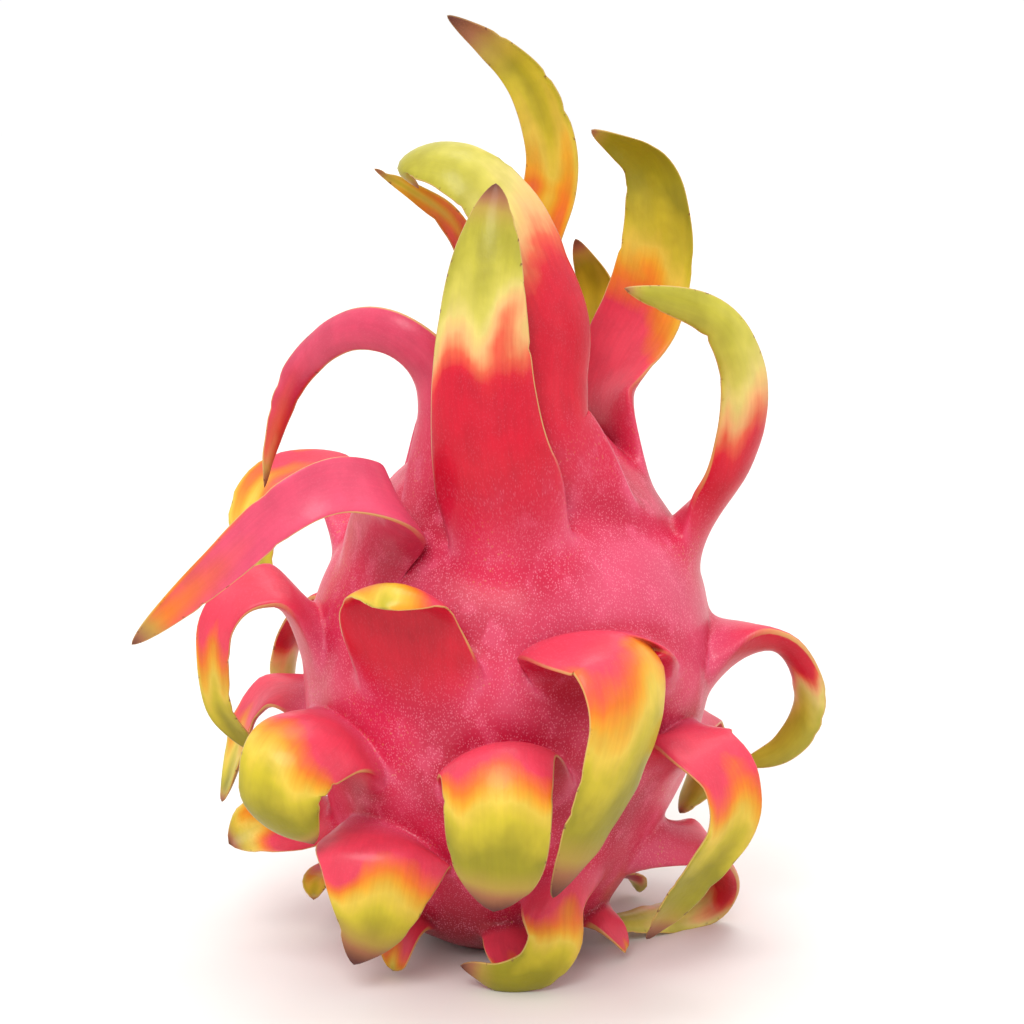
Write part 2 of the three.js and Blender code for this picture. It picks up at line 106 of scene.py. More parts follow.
# Each scale, ring by ring from the base, as in the solid. tint is the share of its length where
# the gold wedge starts, where it is green, and where it is dry. wedge is where across the scale
# that wedge lies (-1 to 1), its half width, and how far the sides ripen behind it.
plain = {
    "flare": 7, "taper": 4, "twist": (0, 0), "cup": 0.25,
    "tint": (0.4, 0.7, 0.95), "wedge": (0, 0.6, 0.35),
}
scales = [
    {"ring": 0, "place": 0, "at": (8, 10), "ends": (2, 2), "half": (8, 6), "tint": (0.5, 0.9, 0.97),
     "path": [(3, -32, 9), (5, -37, 5), (6, -38, 1)]},
    {"ring": 0, "place": 1, "at": (60, 10), "ends": (2, 2), "half": (7, 4), "tint": (0.5, 0.9, 0.97),
     "path": [(25, -18, 9), (29, -20, 5), (30, -19, 2)]},
    {"ring": 0, "place": 2, "at": (120, 10), "ends": (2, 2), "half": (8, 5), "tint": (0.5, 0.8, 0.97),
     "path": [(27, 17, 9), (33, 22, 6), (35, 25, 1)]},
    {"ring": 0, "place": 3, "at": (178, 11), "ends": (2, 2), "half": (8, 6), "tint": (0.5, 0.8, 0.97),
     "path": [(3, 33, 10), (4, 40, 6), (5, 42, 0)]},
    {"ring": 0, "place": 4, "at": (-108, 12), "ends": (2, 2), "half": (8, 5), "tint": (0.5, 0.8, 0.97),
     "path": [(-34, 6, 13), (-40, -2, 13), (-41, -7, 10)]},
    {"ring": 0, "place": 5, "at": (-42, 11), "ends": (2, 2), "half": (8, 5), "tint": (0.5, 0.95, 0.98),
     "path": [(-19, -26, 10), (-21, -30, 6), (-22, -29, 1)]},
    {"ring": 1, "place": 0, "at": (26, 27), "ends": (8, 6), "half": (14, 6.5), "cup": -0.1,
     "tint": (0.2, 0.42, 0.88), "wedge": (0.3, 0.8, 0.4),
     "path": [(13, -38, 22), (14, -42, 13), (10, -42, 6), (2, -41, 3.5), (-7, -38, 5.5)]},
    {"ring": 1, "place": 1, "at": (76, 28), "ends": (6, 6), "half": (15, 6), "tint": (0.35, 0.6, 0.95),
     "path": [(46, -6, 24), (52, 3, 15), (51, 9, 6), (45, 6, 3), (35, -2, 4), (23, -12, 6)]},
    {"ring": 1, "place": 2, "at": (145, 25), "ends": (7, 7), "half": (15, 8),
     "path": [(26, 37, 24), (32, 44, 16), (33, 44, 6)]},
    {"ring": 1, "place": 3, "at": (-155, 25), "ends": (7, 7), "half": (16, 8),
     "path": [(-17, 40, 24), (-24, 50, 19), (-28, 54, 11), (-28, 52, 4)]},
    {"ring": 1, "place": 4, "at": (-97, 29), "ends": (6, 2), "half": (14, 9), "flare": 4,
     "twist": (50, 60), "tint": (0.5, 0.8, 0.93), "path": [(-44, -2, 28), (-53, -6, 27), (-60, -9, 24)]},
    {"ring": 1, "place": 5, "at": (-39, 35), "ends": (2, 13), "half": (19.5, 12.5), "flare": 2,
     "taper": 2.2, "cup": -0.2, "tint": (0.3, 0.58, 0.8), "wedge": (0.15, 0.8, 0.35),
     "path": [(-23, -39, 36), (-24, -45, 28), (-26, -46, 17), (-30, -42, 7)]},
    {"ring": 2, "place": 0, "at": (1, 56), "ends": (10, 10), "half": (19.5, 11.5), "taper": 7,
     "cup": -0.25, "tint": (0.3, 0.54, 0.87), "wedge": (0.1, 0.8, 0.3),
     "path": [(1, -53, 60), (1, -61, 57), (1, -66, 48), (1, -65, 36), (0.5, -62, 26)]},
    {"ring": 2, "place": 1, "at": (57, 56), "ends": (8, 8), "half": (17, 6.5), "twist": (-28, -28),
     "tint": (0.28, 0.5, 0.88), "wedge": (0.3, 0.8, 0.35),
     "path": [(44, -40, 55), (50, -45, 50), (51, -43, 39), (45, -40, 28), (39, -36, 18), (34, -31, 9)]},
    {"ring": 2, "place": 2, "at": (116, 50), "ends": (8, 8), "half": (18, 7),
     "path": [(48, 32, 43), (52, 38, 34), (50, 39, 25), (45, 34, 18)]},
    {"ring": 2, "place": 3, "at": (178, 52), "ends": (8, 8), "half": (18, 9),
     "path": [(4, 54, 54), (5, 63, 50), (6, 67, 40), (6, 62, 29)]},
    {"ring": 2, "place": 4, "at": (-112, 56), "ends": (8, 8), "half": (18, 6), "twist": (20, 20),
     "path": [(-49, 14, 55), (-56, 14, 49), (-59, 12, 41), (-61, 9, 34), (-63, 7, 29)]},
    {"ring": 2, "place": 5, "at": (-54, 58), "ends": (2, 12), "half": (20, 11), "flare": 6,
     "twist": (25, 15), "cup": -0.25, "tint": (0.3, 0.56, 0.94), "wedge": (-0.5, 1.1, 0.5),
     "path": [(-36, -38, 59), (-42, -47, 56), (-45, -50, 48), (-43, -48, 41), (-38, -44, 35)]},
    {"ring": 3, "place": 0, "at": (29, 79), "ends": (8, 13), "half": (23, 11.5), "taper": 2.5,
     "twist": (16, 8), "cup": -0.15, "tint": (0.14, 0.42, 0.86), "wedge": (0.6, 0.9, 0.6),
     "path": [(22, -53, 81), (27, -61, 79), (29, -65, 70), (26, -64, 56), (19, -60, 39), (13, -56, 27)]},
    {"ring": 3, "place": 1, "at": (88, 74), "ends": (8, 10), "half": (18, 5), "twist": (30, 40),
     "tint": (0.34, 0.52, 0.97),
     "path": [(57, -7, 72), (65, -8, 70), (70, -6, 62), (71, -2, 52), (66, 2, 43), (57, 6, 38)]},
    {"ring": 3, "place": 2, "at": (148, 76), "ends": (9, 9), "half": (20, 8),
     "path": [(33, 50, 80), (40, 60, 78), (43, 64, 68), (41, 62, 56), (36, 56, 48)]},
    {"ring": 3, "place": 3, "at": (-140, 74), "ends": (9, 9), "half": (18, 7),
     "path": [(-38, 34, 72), (-47, 39, 63), (-50, 41, 50), (-47, 39, 39)]},
    {"ring": 3, "place": 4, "at": (-78, 78), "ends": (8, 8), "half": (17, 4.5), "twist": (30, 45),
     "tint": (0.42, 0.66, 0.96),
     "path": [(-43, -14, 84), (-54, -18, 84), (-60, -20, 78), (-61, -19, 68), (-60, -16, 57),
              (-52, -11, 45)]},
    {"ring": 3, "place": 5, "at": (-25, 77), "ends": (9, 5), "half": (19, 10.5), "flare": 2.2, "taper": 8,
     "twist": (-6, -4), "cup": -0.3, "tint": (0.46, 0.9, 1.0),
     "path": [(-18, -41, 83), (-19, -46, 90), (-20, -51, 93), (-21, -54.5, 92), (-22, -57, 89.5)]},
    {"ring": 4, "place": 0, "at": (-1.5, 102), "ends": (4, 3), "half": (15.5, 9.5), "flare": 2.2,
     "taper": 5, "tint": (0.36, 0.62, 0.92), "wedge": (0, 0.45, 0.3),
     "path": [(0, -39.5, 116), (-2, -39, 132), (-2, -36, 148), (-1, -33, 161), (1, -28, 175)]},
    {"ring": 4, "place": 1, "at": (86, 97), "ends": (4, 6), "half": (12, 5.5), "twist": (50, 40),
     "tint": (0.26, 0.54, 0.97), "wedge": (-0.4, 0.9, 0.35),
     "path": [(47, -5, 101), (53, -13, 111), (55, -20, 126), (53, -23, 138), (46, -25, 147),
              (28, -30, 153)]},
    {"ring": 4, "place": 2, "at": (138, 98), "ends": (6, 6), "half": (13, 7),
     "path": [(25, 36, 104), (26, 45, 109), (26, 54, 107), (24, 60, 98)]},
    {"ring": 4, "place": 3, "at": (184, 98), "ends": (6, 6), "half": (14, 8),
     "path": [(5, 42, 108), (6, 50, 117), (7, 59, 120), (8, 66, 113)]},
    {"ring": 4, "place": 4, "at": (-112, 97), "ends": (7, 7), "half": (16, 6.5), "twist": (40, 60),
     "tint": (0.25, 0.7, 0.96),
     "path": [(-35, 18, 103), (-44, 23, 104), (-52, 24, 102), (-56, 19, 95), (-54, 13, 88), (-52, 9, 80)]},
    {"ring": 4, "place": 5, "at": (-57, 98), "ends": (6, 9), "half": (15.5, 5.4), "flare": 5,
     "twist": (50, 63), "tint": (0.58, 1.4, 0.93), "wedge": (0, 1.2, 0.15),
     "path": [(-22, -39, 109), (-32, -48, 113.5), (-43, -51, 109), (-57, -50, 96.5), (-76, -44, 79)]},
    {"ring": 5, "place": 0, "at": (35, 110), "ends": (1, 9), "half": (11.5, 9.5), "flare": 2, "taper": 6,
     "tint": (0.4, 0.68, 0.98), "wedge": (-0.4, 0.8, 0.3),
     "path": [(13, -29, 121), (12, -27, 133), (13, -24, 145), (9, -20, 157), (3, -13, 170), (-7, -10, 178),
              (-16, -6, 179), (-20, -5, 176), (-16, -5, 172)]},
    {"ring": 5, "place": 1, "at": (110, 111), "ends": (5, 5), "half": (12, 10), "flare": 4, "taper": 3,
     "twist": (-62, -60), "tint": (0.3, 0.54, 0.97), "wedge": (-0.7, 0.8, 0.4),
     "path": [(27, 15, 121), (30, 18, 132), (35, 18, 143), (38, 17, 160), (35, 14, 176), (22, 8, 184)]},
    {"ring": 5, "place": 2, "at": (165, 109), "ends": (3, 3), "half": (8, 6), "tint": (0.1, 0.5, 0.92),
     "path": [(17, 28, 121), (22, 30, 133), (24, 31, 146), (19, 27, 158)]},
    {"ring": 5, "place": 3, "at": (-130, 111), "ends": (4, 4), "half": (10, 3.6), "tint": (0.4, 0.9, 0.95),
     "path": [(-12, 19, 120), (-10, 23, 132), (-7, 23, 144), (-6, 18, 155), (-10, 12, 164), (-17, 6, 170),
              (-26, 0, 176)]},
    {"ring": 5, "place": 5, "at": (-42, 110), "ends": (4, 3), "half": (11, 5), "flare": 6, "taper": 2.5,
     "twist": (-35, 40), "tint": (0.58, 1.4, 0.95), "wedge": (0, 1.2, 0.15),
     "path": [(-12, -17, 131), (-21, -17, 141), (-33, -10, 141), (-44, 1, 130), (-50, 7, 113),
              (-52, 8, 103)]},
    {"ring": 6, "place": 1, "at": (60, 119.5), "ends": (1, 1), "half": (6, 4.5),
     "path": [(16, -4, 128), (14, -2, 138), (12, 1, 148)]},
    {"ring": 6, "place": 3, "at": (180, 118), "ends": (2, 2), "half": (8, 6.5), "tint": (0.2, 0.6, 0.88),
     "path": [(6, 17, 130), (7, 20, 145), (9, 22, 158), (13, 22, 170), (13, 21, 181), (8, 18, 194),
              (-1, 14, 203), (-10, 10, 209)]},
    {"ring": 6, "place": 5, "at": (-60, 119.5), "ends": (1, 1), "half": (6, 4.5),
     "path": [(-7, -6, 129), (-8, -4, 140), (-6, 0, 150)]},
]


def hermite(t, start, leaving, end, arriving):
    return (
        (2 * t**3 - 3 * t**2 + 1) * start
        + (t**3 - 2 * t**2 + t) * leaving
        + (3 * t**2 - 2 * t**3) * end
        + (t**3 - t**2) * arriving
    )


def splineThrough(corners, before, after, perSpan=40):
    row = np.vstack([[before], corners, [after]]).astype(float)
    t = np.linspace(0, 1, perSpan, endpoint=False)[:, None]
    fours = zip(row, row[1:], row[2:], row[3:])
    spans = [hermite(t, b, (c - a) / 2, c, (d - b) / 2) for a, b, c, d in fours]
    return np.vstack(spans + [row[-2:-1]])


def lengthsAlong(line):
    return np.concatenate([[0], np.cumsum(np.linalg.norm(np.diff(line, axis=0), axis=1))])


def unit(vectors):
    return vectors / np.maximum(np.linalg.norm(vectors, axis=-1, keepdims=True), 1e-9)


def smooth(t):
    t = np.clip(t, 0, 1)
    return t * t * (3 - 2 * t)


# The plain body
fine = fruit["fineness"]
flatEdge = (fruit["flatSpotRadius"], 0)
bodySide = [flatEdge] + [(share * fruit["bodyRadius"], height) for share, height in fruit["bodyOutline"]]
outline = np.vstack([[(0, 0)], splineThrough(bodySide, bodySide[0], bodySide[-1])])
outlineShares = lengthsAlong(outline)
outlineLength = outlineShares[-1]
outlineShares = outlineShares / outlineLength
peak = int(outline[:, 1].argmax())


def shareAtHeight(height):
    return np.interp(np.minimum(height, fruit["highestRoot"]), outline[1:peak, 1], outlineShares[1:peak])


def bodyPoint(around, share):
    share = np.clip(share, 0, 1)
    radius = np.interp(share, outlineShares, outline[:, 0])
    height = np.interp(share, outlineShares, outline[:, 1])
    angle = np.radians(around) + 0 * share
    middle = fruit["lean"] * height
    return np.stack([middle + radius * np.sin(angle), -radius * np.cos(angle), height], -1)


def bodyNormal(around, share):
    step = 0.004
    up = bodyPoint(around, share + step) - bodyPoint(around, share - step)
    angle = np.radians(around) + 0 * share
    across = np.stack([np.cos(angle), np.sin(angle), 0 * angle], -1)
    return unit(np.cross(across, up))


# The lattice that skin and scales are woven on
perPlace, scaleColumns, perRing = 6 * fine, 4 * fine, 3 * fine
rowsBelow, rowsAbove, flatRow = 4 * fine, 3 * fine, fine
columns = fruit["places"] * perPlace
ringRows = [rowsBelow + ring * perRing for ring in range(len(fruit["ringHeights"]))]
topRow = ringRows[-1] + rowsAbove
rowMarks = [0, fruit["flatSpotRadius"] / outlineLength, *shareAtHeight(np.array(fruit["ringHeights"])), 1]
evenShares = np.interp(np.arange(topRow + 1), [0, flatRow, *ringRows, topRow], rowMarks)
evenAngles = 360 * np.arange(columns) / columns


def rootOf(scale):
    across = np.linspace(-1, 1, scaleColumns + 1)
    middle = int(perPlace * (scale["place"] + (scale["ring"] % 2) / 2))
    radius = np.interp(shareAtHeight(scale["at"][1]), outlineShares, outline[:, 0])
    ends = np.where(across < 0, scale["ends"][0], scale["ends"][1])
    return {
        "row": ringRows[scale["ring"]],
        "columns": (middle - scaleColumns // 2 + np.arange(scaleColumns + 1)) % columns,
        "across": across,
        "around": scale["at"][0] + math.degrees(scale["half"][0] / radius) * across,
        "height": scale["at"][1] - ends * across**2,
    }


def relaxLattice():
    held = np.zeros((topRow + 1, columns, 1), bool)
    low, high = np.zeros((topRow + 1, columns, 2)), np.zeros((topRow + 1, columns, 2))
    held[[0, flatRow, topRow]] = True
    for scale in scales:
        root = rootOf(scale)
        row, spots, bow = root["row"], root["columns"], 1 - root["across"] ** 2
        shift = (root["around"] - evenAngles[spots] + 540) % 360 - 180
        drop = fruit["rootDrops"][scale["ring"]]
        for side, offset in ((low, -drop * bow), (high, fruit["rootAbove"] * bow)):
            share = shareAtHeight(root["height"] + offset) - evenShares[row]
            side[row, spots] = np.stack([shift, share], 1)
        held[row, spots] = True
    for scale in scales:  # between two neighbouring roots the skin runs straight
        start = rootOf(scale)["columns"][-1]
        gap = np.arange(1, perPlace - scaleColumns)
        end = (start + perPlace - scaleColumns) % columns
        row = ringRows[scale["ring"]]
        if held[row, end]:
            part = (gap / (perPlace - scaleColumns))[:, None]
            spots = (start + gap) % columns
            low[row, spots] = high[row, spots] = low[row, start] * (1 - part) + low[row, end] * part
            held[row, spots] = True
    below, above = low.copy(), high.copy()
    for _ in range(fruit["relaxRounds"]):
        free = (np.roll(below, 1, 1)[1:-1] + np.roll(below, -1, 1)[1:-1] + below[2:] + above[:-2]) / 4
        below[1:-1] = np.where(held[1:-1], low[1:-1], free)
        above[1:-1] = np.where(held[1:-1], high[1:-1], free)
    return below, above


def skinRise():
    band = ((np.arange(topRow + 1) - rowsBelow) / perRing)[:, None]
    ring = np.ceil(band)
    across = (np.arange(columns)[None] - (ring % 2) * perPlace / 2) % perPlace
    fromSeam = np.abs(across - perPlace / 2) / fine
    rise = fruit["seamRise"] * (band - ring + 1) ** 2 * np.exp(-(fromSeam**2))
    return np.where((band > -1) & (band < len(ringRows) - 1), rise, 0)


belowRoots, aboveRoots = relaxLattice()
riseOfSkin = skinRise()[..., None]
print("lattice relaxed:", topRow + 1, "rows of", columns)

# Every point with what the skin needs to know about it
spots = {
    name: [] for name in ("place", "along", "across", "inner", "gap", "blade", "grain", "tint", "wedge")
}
pointCount = 0
faces = []


def addPoints(place, **values):
    global pointCount
    place = np.asarray(place, float).reshape(-1, 3)
    count = len(place)
    spots["place"].append(place)
    for name, default in (("along", 0), ("across", 0), ("inner", 0), ("gap", 20), ("blade", 0)):
        spots[name].append(np.broadcast_to(values.get(name, default), (count,)).astype(float))
    for name, default in (("grain", (0, 0, 0)), ("tint", plain["tint"]), ("wedge", plain["wedge"])):
        spots[name].append(np.broadcast_to(values.get(name, default), (count, 3)).astype(float))
    pointCount += count
    return np.arange(pointCount - count, pointCount)


def skinPoints(lattice):
    around = evenAngles[None] + lattice[..., 0]
    share = evenShares[:, None] + lattice[..., 1]
    return bodyPoint(around, share) + bodyNormal(around, share) * riseOfSkin


lowSkin, highSkin = skinPoints(belowRoots), skinPoints(aboveRoots)
under = np.zeros((topRow + 1, columns), int)
for row, share in ((0, 0), (topRow, 1)):
    under[row] = addPoints(bodyPoint(0, share))[0]
under[1:-1] = addPoints(lowSkin[1:-1]).reshape(topRow - 1, columns)
over = under.copy()
for scale in scales:
    root = rootOf(scale)
    inside = root["columns"][1:-1]
    over[root["row"], inside] = addPoints(highSkin[root["row"], inside])

following = np.roll(np.arange(columns), -1)
for row in range(topRow):
    a, b = over[row], over[row][following]
    c, d = under[row + 1][following], under[row + 1]
    if row == 0:
        faces += np.stack([a, c, d], 1).tolist()
    elif row == topRow - 1:
        faces += np.stack([a, b, c], 1).tolist()
    else:
        faces += np.stack([a, b, c, d], 1).tolist()
skinPlaces = np.vstack(spots["place"])


def scaleFrames(scale):
    start = bodyPoint(scale["at"][0], shareAtHeight(scale["at"][1]))
    path = np.vstack([[start], scale["path"]])
    line = splineThrough(path, 2 * path[0] - path[1], 2 * path[-1] - path[-2])
    lengths = lengthsAlong(line)
    steps = int(round(2 * lengths[-1]))
    wanted = np.linspace(0, lengths[-1], steps + 1)
    centre = np.stack([np.interp(wanted, lengths, line[:, axis]) for axis in range(3)], 1)
    along = unit(np.gradient(centre, axis=0))
    angle = math.radians(scale["at"][0])
    across = np.array([math.cos(angle), math.sin(angle), 0])
    carried = []
    for direction in along:
        across = unit(across - across @ direction * direction)
        carried.append(across)
    carried = np.array(carried)
    share = np.linspace(0, 1, steps + 1)[:, None]
    halfway, atTip = scale["twist"]
    turn = np.radians(halfway * smooth(2 * share) + (atTip - halfway) * smooth(2 * share - 1))
    turned = carried * np.cos(turn) - np.cross(along, carried) * np.sin(turn)
    return {
        "length": lengths[-1],
        "share": share[:, 0],
        "centre": centre,
        "across": turned,
        "out": np.cross(turned, along),
        "wave": draw.uniform(0, 2 * math.pi, 4),
        "nicks": draw.uniform(fruit["nickFrom"], fruit["nickTo"], (fruit["nicks"], 4)),
    }


def sectionPoints(scale, line, share, across):
    share, across = np.broadcast_arrays(np.asarray(share, float), np.asarray(across, float))

    def carriedAlong(name):
        return np.stack([np.interp(share, line["share"], line[name][:, axis]) for axis in range(3)], -1)

    rootHalf, bladeHalf = scale["half"]
    width = bladeHalf + (rootHalf - bladeHalf) * (1 - share) ** scale["flare"]
    half = width * np.maximum(1 - share ** scale["taper"], 0) ** fruit["tipRoundness"]
    distance = share * line["length"]
    turns = distance[..., None] / fruit["marginWavelength"] * [1, 1.7, 1.2, 2.1]
    wave = line["wave"] + 2 * math.pi * turns
    leftWave = np.sin(wave[..., 0]) + 0.6 * np.sin(wave[..., 1])
    rightWave = np.sin(wave[..., 2]) + 0.6 * np.sin(wave[..., 3])
    waveSpan = fruit["marginWaveFull"] - fruit["marginWaveFrom"]
    grown = smooth((share - fruit["marginWaveFrom"]) / waveSpan) * fruit["marginWave"]
    for spot, side, depth, reach in line["nicks"]:
        hit = np.exp(-(((distance - spot * line["length"]) / reach) ** 2)) * (np.sign(side) * across > 0)
        half = half - np.minimum(depth * fruit["nickDepth"], 0.3 * half) * hit
    thick = fruit["neckThickness"] * (1 - smooth(2 * share))
    thick = thick + fruit["bladeThickness"] + (fruit["tipThickness"] - fruit["bladeThickness"]) * share
    thick = thick * np.sqrt(np.maximum(1 - share ** fruit["tipThinning"], 0))
    out = unit(carriedAlong("out"))
    middle = carriedAlong("centre") + unit(carriedAlong("across")) * (half * across)[..., None]
    bend = -scale["cup"] * half * across**2
    bend = bend + grown * across**2 * np.where(across < 0, leftWave, rightWave) * 0.6
    middle = middle + out * bend[..., None]
    lift = out * (thick / 2 * np.sqrt(np.maximum(1 - across**2, 0)))[..., None]
    return np.stack([middle + lift, middle - lift]), half


def growScale(scale, number):
    root = rootOf(scale)
    even = root["across"]
    rounded = np.sin(np.pi / 2 * even)
    line = scaleFrames(scale)
    marks = {"tint": scale["tint"], "wedge": scale["wedge"]}
    reach = min(fruit["rootShare"], fruit["rootReach"] / (line["length"] + 1))
    nudge = 0.02
    here, _ = sectionPoints(scale, line, reach, rounded)
    beyond, _ = sectionPoints(scale, line, reach + nudge, rounded)
    slopes = (beyond - here) * reach / nudge
    lower, upper = under[root["row"], root["columns"]], over[root["row"], root["columns"]]
    start = np.stack([skinPlaces[lower], skinPlaces[upper]])
    leaveShare = shareAtHeight(root["height"] - fruit["rootDrops"][scale["ring"]] * (1 - even**2))
    up = unit(bodyPoint(root["around"], leaveShare + 0.01) - bodyPoint(root["around"], leaveShare))
    outwards, inwards = here - start
    distance = np.linalg.norm(outwards, axis=1, keepdims=True)
    atEnds = (even**2)[:, None]
    clear = bodyNormal(root["around"], leaveShare) * fruit["marginStandOff"] * distance * atEnds
    outwards, inwards = outwards + clear, inwards + clear
    leaving = up * fruit["rootRise"] * distance * (1 - atEnds) + outwards * atEnds
    leaving = np.stack([leaving, inwards])

    count = int(round(line["length"] / fruit["stationStep"]))
    for station in range(1, count):
        t = station / count
        share = 1 - (1 - t ** fruit["crowdingAtRoot"]) ** fruit["crowdingAtTip"]
        bothSides, half = sectionPoints(scale, line, share, rounded)
        if share < reach:
            bothSides = hermite(share / reach, start, leaving, here, slopes)
        values = {
            "along": share,
            "gap": (1 - np.abs(rounded)) * half,
            "blade": smooth(share * line["length"] / fruit["easeReach"]),
            "grain": np.stack(
                [rounded * half, 0 * half + share * line["length"], 0 * half + 50 * number], 1
            ),
        }
        rim = (np.abs(even) == 1) * 0.5
        nextLower = addPoints(bothSides[0], across=rounded, inner=rim, **values, **marks)
        middles = slice(1, -1)
        inside = {name: value[middles] if np.ndim(value) else value for name, value in values.items()}
        inside = {"across": rounded[middles], "inner": 1, **inside, **marks}
        nextUpper = nextLower.copy()
        nextUpper[middles] = addPoints(bothSides[1][middles], **inside)
        faces.extend(np.stack([lower[:-1], lower[1:], nextLower[1:], nextLower[:-1]], 1).tolist())
        faces.extend(np.stack([upper[1:], upper[:-1], nextUpper[:-1], nextUpper[1:]], 1).tolist())
        lower, upper = nextLower, nextUpper
    tip = addPoints(line["centre"][-1], along=1, inner=0.5, gap=0, blade=1, **marks)[0]
    for index in range(scaleColumns):
        faces.append([lower[index], lower[index + 1], tip])
        faces.append([upper[index + 1], upper[index], tip])


for number, scale in enumerate(scales):
    growScale({**plain, **scale}, number + 1)
places = np.vstack(spots["place"])
print("scales grown:", len(scales), "points", pointCount, "faces", len(faces))


# Joints between skin and scales grow softly into each other, so points there settle among
# their neighbours
corners = np.array([face + face[-1:] if len(face) == 3 else face for face in faces])
triangles = corners[:, 2] == corners[:, 3]
edges = np.vstack([corners[:, [k, (k + 1) % 4]] for k in range(4)])
edges = edges[edges[:, 0] != edges[:, 1]]
degree = np.bincount(edges.ravel(), minlength=pointCount)[:, None]


def settle(places, rounds, share):
    for _ in range(rounds):
        beside = places[edges[:, ::-1].ravel()]
        sums = [np.bincount(edges.ravel(), beside[:, axis], pointCount) for axis in range(3)]
        places = places + share * (np.stack(sums, 1) / degree - places)
    return places


def pointNormals(places):
    a, b, c, d = (places[corners[:, k]] for k in range(4))
    across = np.cross(c - a, d - b)
    a, b, c = (places[corners[triangles, k]] for k in range(3))
    across[triangles] = np.cross(b - a, c - a)
    across = np.repeat(across, 4, 0)
    normals = [np.bincount(corners.ravel(), across[:, axis], pointCount) for axis in range(3)]
    return unit(np.stack(normals, 1))


blade = np.concatenate(spots["blade"])[:, None]
standing = places[:, 2:] < 0.01  # the flat spot stays flat
loose = np.where(standing, 0, fruit["easeStep"] * (1 - blade))
places = settle(places, fruit["easeRounds"], loose)
normals = pointNormals(places)
slow = settle(places, fruit["reliefRounds"], np.where(standing, 0, fruit["easeStep"]))
relief = ((places - slow) * normals).sum(1) * (1 - blade[:, 0])  # ridges above nought, hollows below
spots["relief"] = [relief]
print("joints settled, relief from", round(relief.min(), 2), "to", round(relief.max(), 2))

# The soft unevenness of grown skin: a few slow waves through the whole fruit, along its normals
waves = fruit["skinWaves"]
directions = unit(draw.normal(size=(waves, 3)))
lengthsOfWaves = fruit["skinWavelength"] * draw.uniform(*fruit["skinWavelengths"], waves)
phases = draw.uniform(0, 2 * math.pi, waves)
swell = np.sin(2 * math.pi * (places @ directions.T) / lengthsOfWaves + phases).sum(1) / math.sqrt(waves)
places = places + normals * fruit["skinWave"] * swell[:, None] * (1 - fruit["bladeCalm"] * blade)
places[:, 2] = np.maximum(places[:, 2], 0)  # nothing reaches below the table

# The finer curves reach a little further than the solid's facets, so they are drawn in to its box
places = places * metre
for axis in range(3):
    low, high = places[:, axis].min(), places[:, axis].max()
    inLow, inHigh = max(low, cadBox[0][axis]), min(high, cadBox[1][axis])
    places[:, axis] = inLow + (places[:, axis] - low) * (inHigh - inLow) / (high - low)

fruitMesh = bpy.data.meshes.new("pitaya")
fruitMesh.from_pydata(places.tolist(), [], faces)
fruitMesh.validate()
fruitMesh.polygons.foreach_set("use_smooth", [True] * len(fruitMesh.polygons))
for name, source in (("alongScale", "along"), ("acrossScale", "across"), ("innerFace", "inner"),
                     ("marginGap", "gap"), ("bladeShare", "blade"), ("skinRelief", "relief")):
    values = fruitMesh.attributes.new(name, "FLOAT", "POINT")
    values.data.foreach_set("value", np.concatenate(spots[source]))
for name, source in (("scaleGrain", "grain"), ("scaleTint", "tint"), ("scaleWedge", "wedge")):
    values = fruitMesh.attributes.new(name, "FLOAT_VECTOR", "POINT")
    values.data.foreach_set("vector", np.vstack(spots[source]).ravel())
fruitMesh.update()
pitaya = bpy.data.objects.new("pitaya", fruitMesh)
bpy.context.collection.objects.link(pitaya)
print("mesh made:", len(fruitMesh.polygons), "faces")


def linear(hexColour):
    values = [int(hexColour[i : i + 2], 16) / 255 for i in (1, 3, 5)]
    return tuple(v / 12.92 if v <= 0.04045 else ((v + 0.055) / 1.055) ** 2.4 for v in values) + (1,)


def addNode(tree, kind, links=None, output=0, stops=None, **settings):
    node = tree.nodes.new("ShaderNode" + kind)
    for name, value in settings.items():
        setattr(node, name, value)
    for socket, source in (links or {}).items():
        if isinstance(source, bpy.types.NodeSocket):
            tree.links.new(source, node.inputs[socket])
        else:
            node.inputs[socket].default_value = source
    if stops:
        elements = node.color_ramp.elements
        while len(elements) < len(stops):
            elements.new(0.5)
        for element, (position, colour) in zip(elements, stops):
            element.position = position
            element.color = linear(colour)
    return node.outputs if output is None else node.outputs[output]


